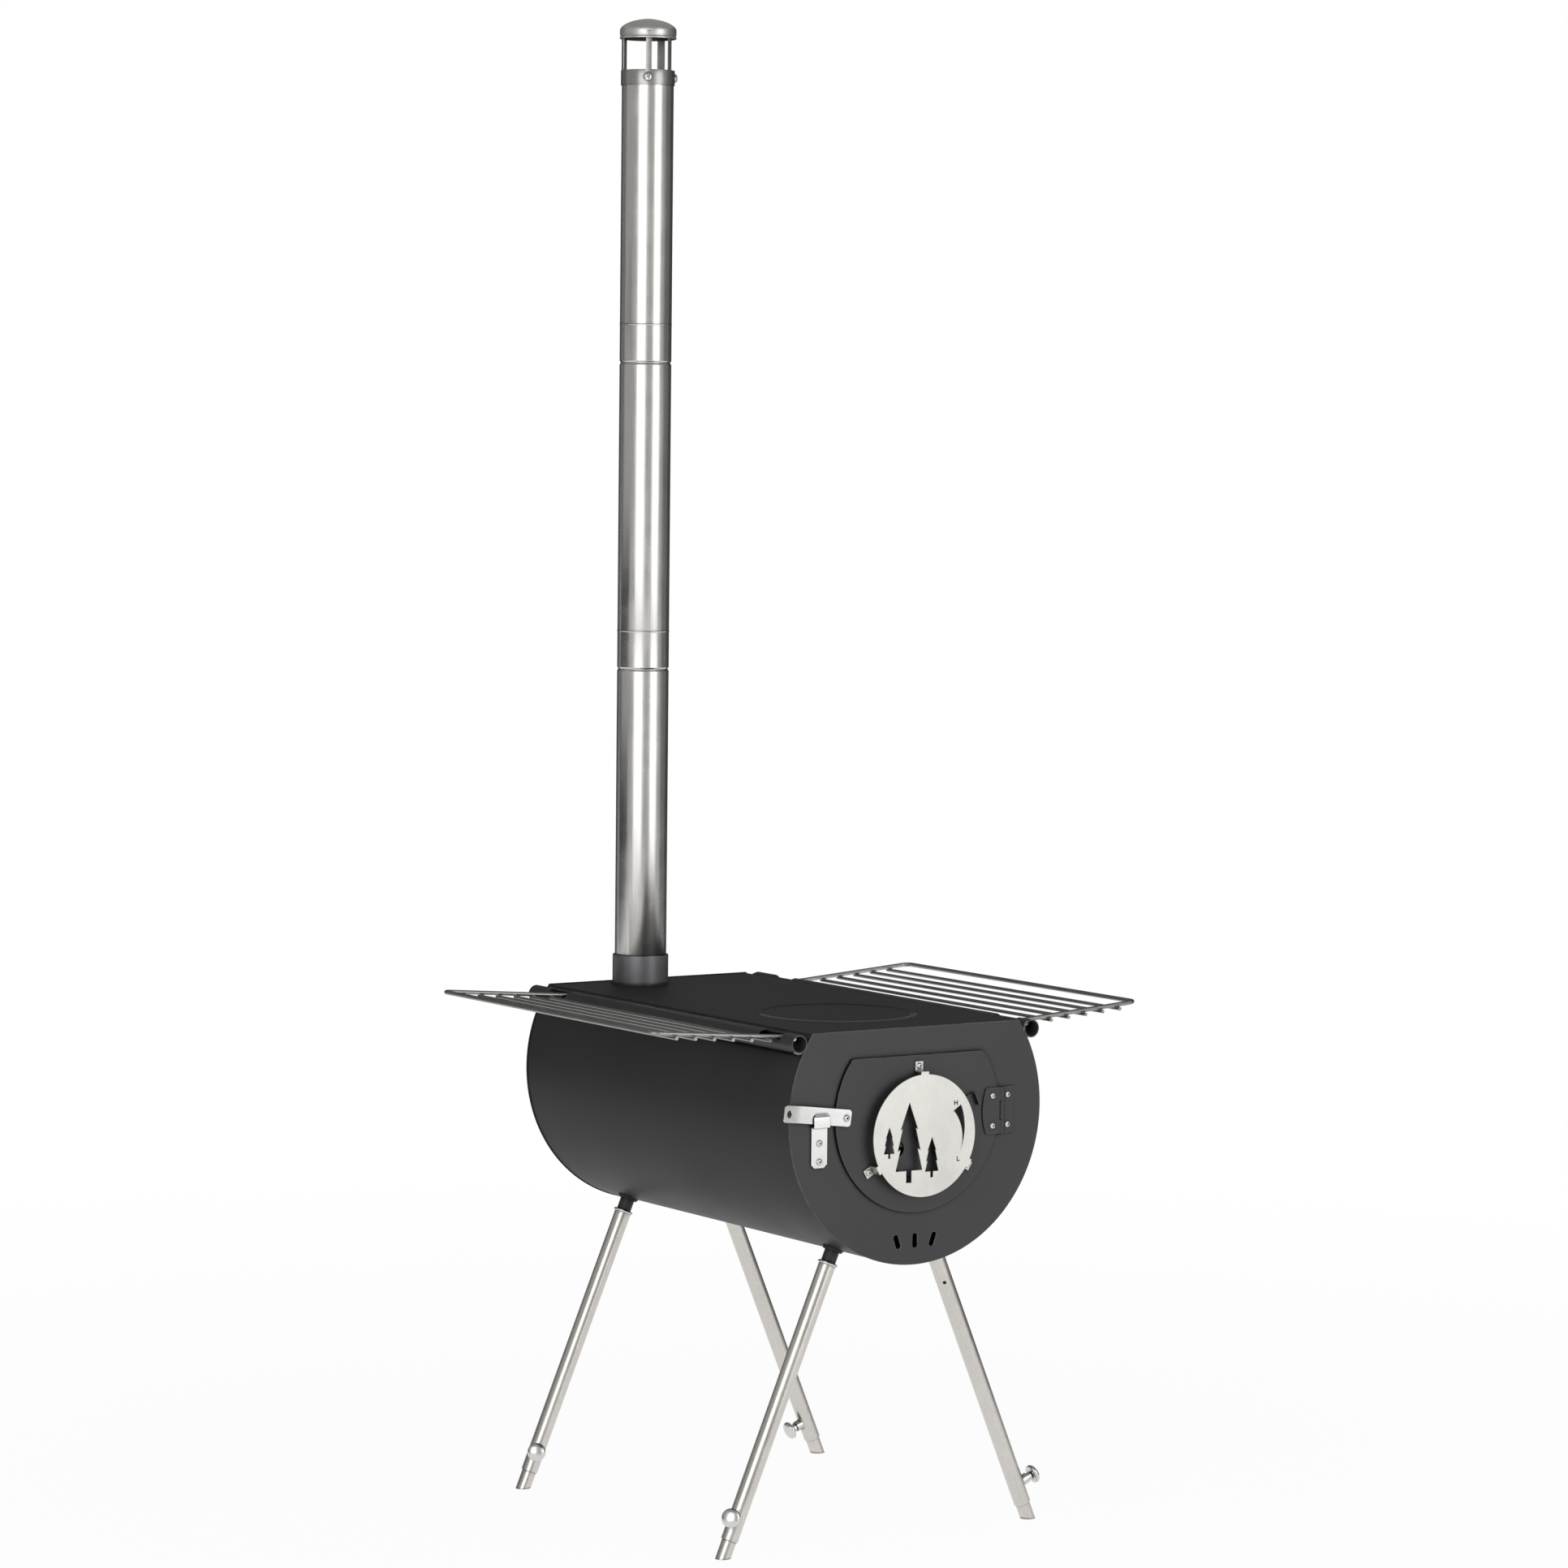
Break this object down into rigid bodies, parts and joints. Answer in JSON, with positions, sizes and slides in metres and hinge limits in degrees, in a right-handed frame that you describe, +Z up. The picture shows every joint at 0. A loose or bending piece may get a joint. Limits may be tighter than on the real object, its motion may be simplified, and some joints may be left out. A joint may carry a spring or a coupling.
{
  "type": "tent wood stove",
  "caption": "Portable D-shaped barrel wood stove with splayed telescopic legs, hinged fire door with rotary damper, folding wire side racks and sectional flue pipe.",
  "frame": {"origin": "centre of the object's bounding box in plan, on the ground that the four feet stand on", "axes": "+Z up, the fire door faces -Y, +X to the right as seen from the front; the flue pipe stands near the rear, left of the middle"},
  "size_m": [0.6426, 0.572, 1.6905],
  "materials": {
    "black_paint": "satin heat-proof black paint on steel",
    "bare_steel": "dark mill-finish steel plate",
    "pipe_stainless": "rolled stainless sheet with fine length-wise grain",
    "leg_stainless": "satin stainless tube",
    "cover_stainless": "fine-blasted stainless sheet",
    "bright_steel": "bright zinc-plated strip and fasteners",
    "chrome_wire": "plated wire"
  },
  "bodies": {
    "stove": {"barrel_shell": "black_paint", "cook_top": "black_paint", "front_plate": "black_paint", "rear_plate": "black_paint", "fire_grate": "bare_steel", "flue_collar": "black_paint", "rack_tube_left": "black_paint", "rack_tube_right": "black_paint", "latch_keeper": "bright_steel", "keeper_rivets": "bright_steel", "hinge_leaf_fixed": "black_paint", "hinge_pin": "black_paint", "frame_hinge_rivets": "bright_steel", "pipe_lower": "pipe_stainless", "pipe_middle": "pipe_stainless", "pipe_upper": "pipe_stainless", "arrestor_cage": "pipe_stainless", "arrestor_dome": "pipe_stainless", "arrestor_screws": "bright_steel", "leg_socket_front_left": "black_paint", "leg_socket_front_right": "black_paint", "leg_socket_rear_left": "black_paint", "leg_socket_rear_right": "black_paint", "leg_tube_front_left": "leg_stainless", "leg_tube_front_right": "leg_stainless", "leg_tube_rear_left": "leg_stainless", "leg_tube_rear_right": "leg_stainless"},
    "door": {"door_panel": "black_paint", "hinge_leaf_door": "black_paint", "door_hinge_rivets": "bright_steel", "damper_cover": "cover_stainless", "cover_rivets": "bright_steel", "shutter_pivot": "bright_steel", "latch_pivot": "bright_steel"},
    "latch": {"latch_bar": "bright_steel"},
    "shutter": {"air_shutter": "black_paint"},
    "rack_left": {"side_rack_left": "chrome_wire"},
    "rack_right": {"side_rack_right": "chrome_wire"},
    "foot_front_left": {"foot_leg_front_left": "leg_stainless"},
    "foot_front_right": {"foot_leg_front_right": "leg_stainless"},
    "foot_rear_left": {"foot_leg_rear_left": "leg_stainless"},
    "foot_rear_right": {"foot_leg_rear_right": "leg_stainless"},
    "screw_front_left": {"thumb_screw_front_left": "bright_steel"},
    "screw_front_right": {"thumb_screw_front_right": "bright_steel"},
    "screw_rear_left": {"thumb_screw_rear_left": "bright_steel"},
    "screw_rear_right": {"thumb_screw_rear_right": "bright_steel"}
  },
  "joints": [
    {"name": "door_hinge", "type": "hinge", "parent": "stove", "child": "door", "pos_m": [0.1112, -0.2731, 0.477], "axis": [0, 0, 1], "range_deg": [0, 120]},
    {"name": "latch_swing", "type": "hinge", "parent": "door", "child": "latch", "pos_m": [-0.095, -0.2742, 0.4816], "axis": [0, 1, 0], "range_deg": [0, 75]},
    {"name": "shutter_turn", "type": "hinge", "parent": "door", "child": "shutter", "pos_m": [0, -0.27415, 0.4575], "axis": [0, 1, 0], "range_deg": [-17, 43]},
    {"name": "rack_left_fold", "type": "hinge", "parent": "stove", "child": "rack_left", "pos_m": [-0.15335, 0, 0.56931], "axis": [0, 1, 0], "range_deg": [0, 105]},
    {"name": "rack_right_fold", "type": "hinge", "parent": "stove", "child": "rack_right", "pos_m": [0.15335, 0, 0.56931], "axis": [0, -1, 0], "range_deg": [0, 105]},
    {"name": "leg_front_left_slide", "type": "slide", "parent": "stove", "child": "foot_front_left", "axis": [-0.3907, 0, -0.9205], "range_m": [-0.015, 0.1]},
    {"name": "leg_front_right_slide", "type": "slide", "parent": "stove", "child": "foot_front_right", "axis": [0.3907, 0, -0.9205], "range_m": [-0.015, 0.1]},
    {"name": "leg_rear_left_slide", "type": "slide", "parent": "stove", "child": "foot_rear_left", "axis": [-0.3907, 0, -0.9205], "range_m": [-0.015, 0.1]},
    {"name": "leg_rear_right_slide", "type": "slide", "parent": "stove", "child": "foot_rear_right", "axis": [0.3907, 0, -0.9205], "range_m": [-0.015, 0.1]},
    {"name": "screw_front_left_turn", "type": "hinge", "parent": "stove", "child": "screw_front_left", "pos_m": [-0.18677, -0.206, 0.04], "axis": [-0.7, -0.6494, 0.2971], "range_deg": [0, 180]},
    {"name": "screw_front_right_turn", "type": "hinge", "parent": "stove", "child": "screw_front_right", "pos_m": [0.18677, -0.206, 0.04], "axis": [0.9205, 0, 0.3907], "range_deg": [0, 180]},
    {"name": "screw_rear_left_turn", "type": "hinge", "parent": "stove", "child": "screw_rear_left", "pos_m": [-0.18677, 0.222, 0.04], "axis": [-0.4741, -0.8572, 0.2012], "range_deg": [0, 180]},
    {"name": "screw_rear_right_turn", "type": "hinge", "parent": "stove", "child": "screw_rear_right", "pos_m": [0.18677, 0.222, 0.04], "axis": [-0.9205, 0, -0.3907], "range_deg": [0, 180]}
  ]
}
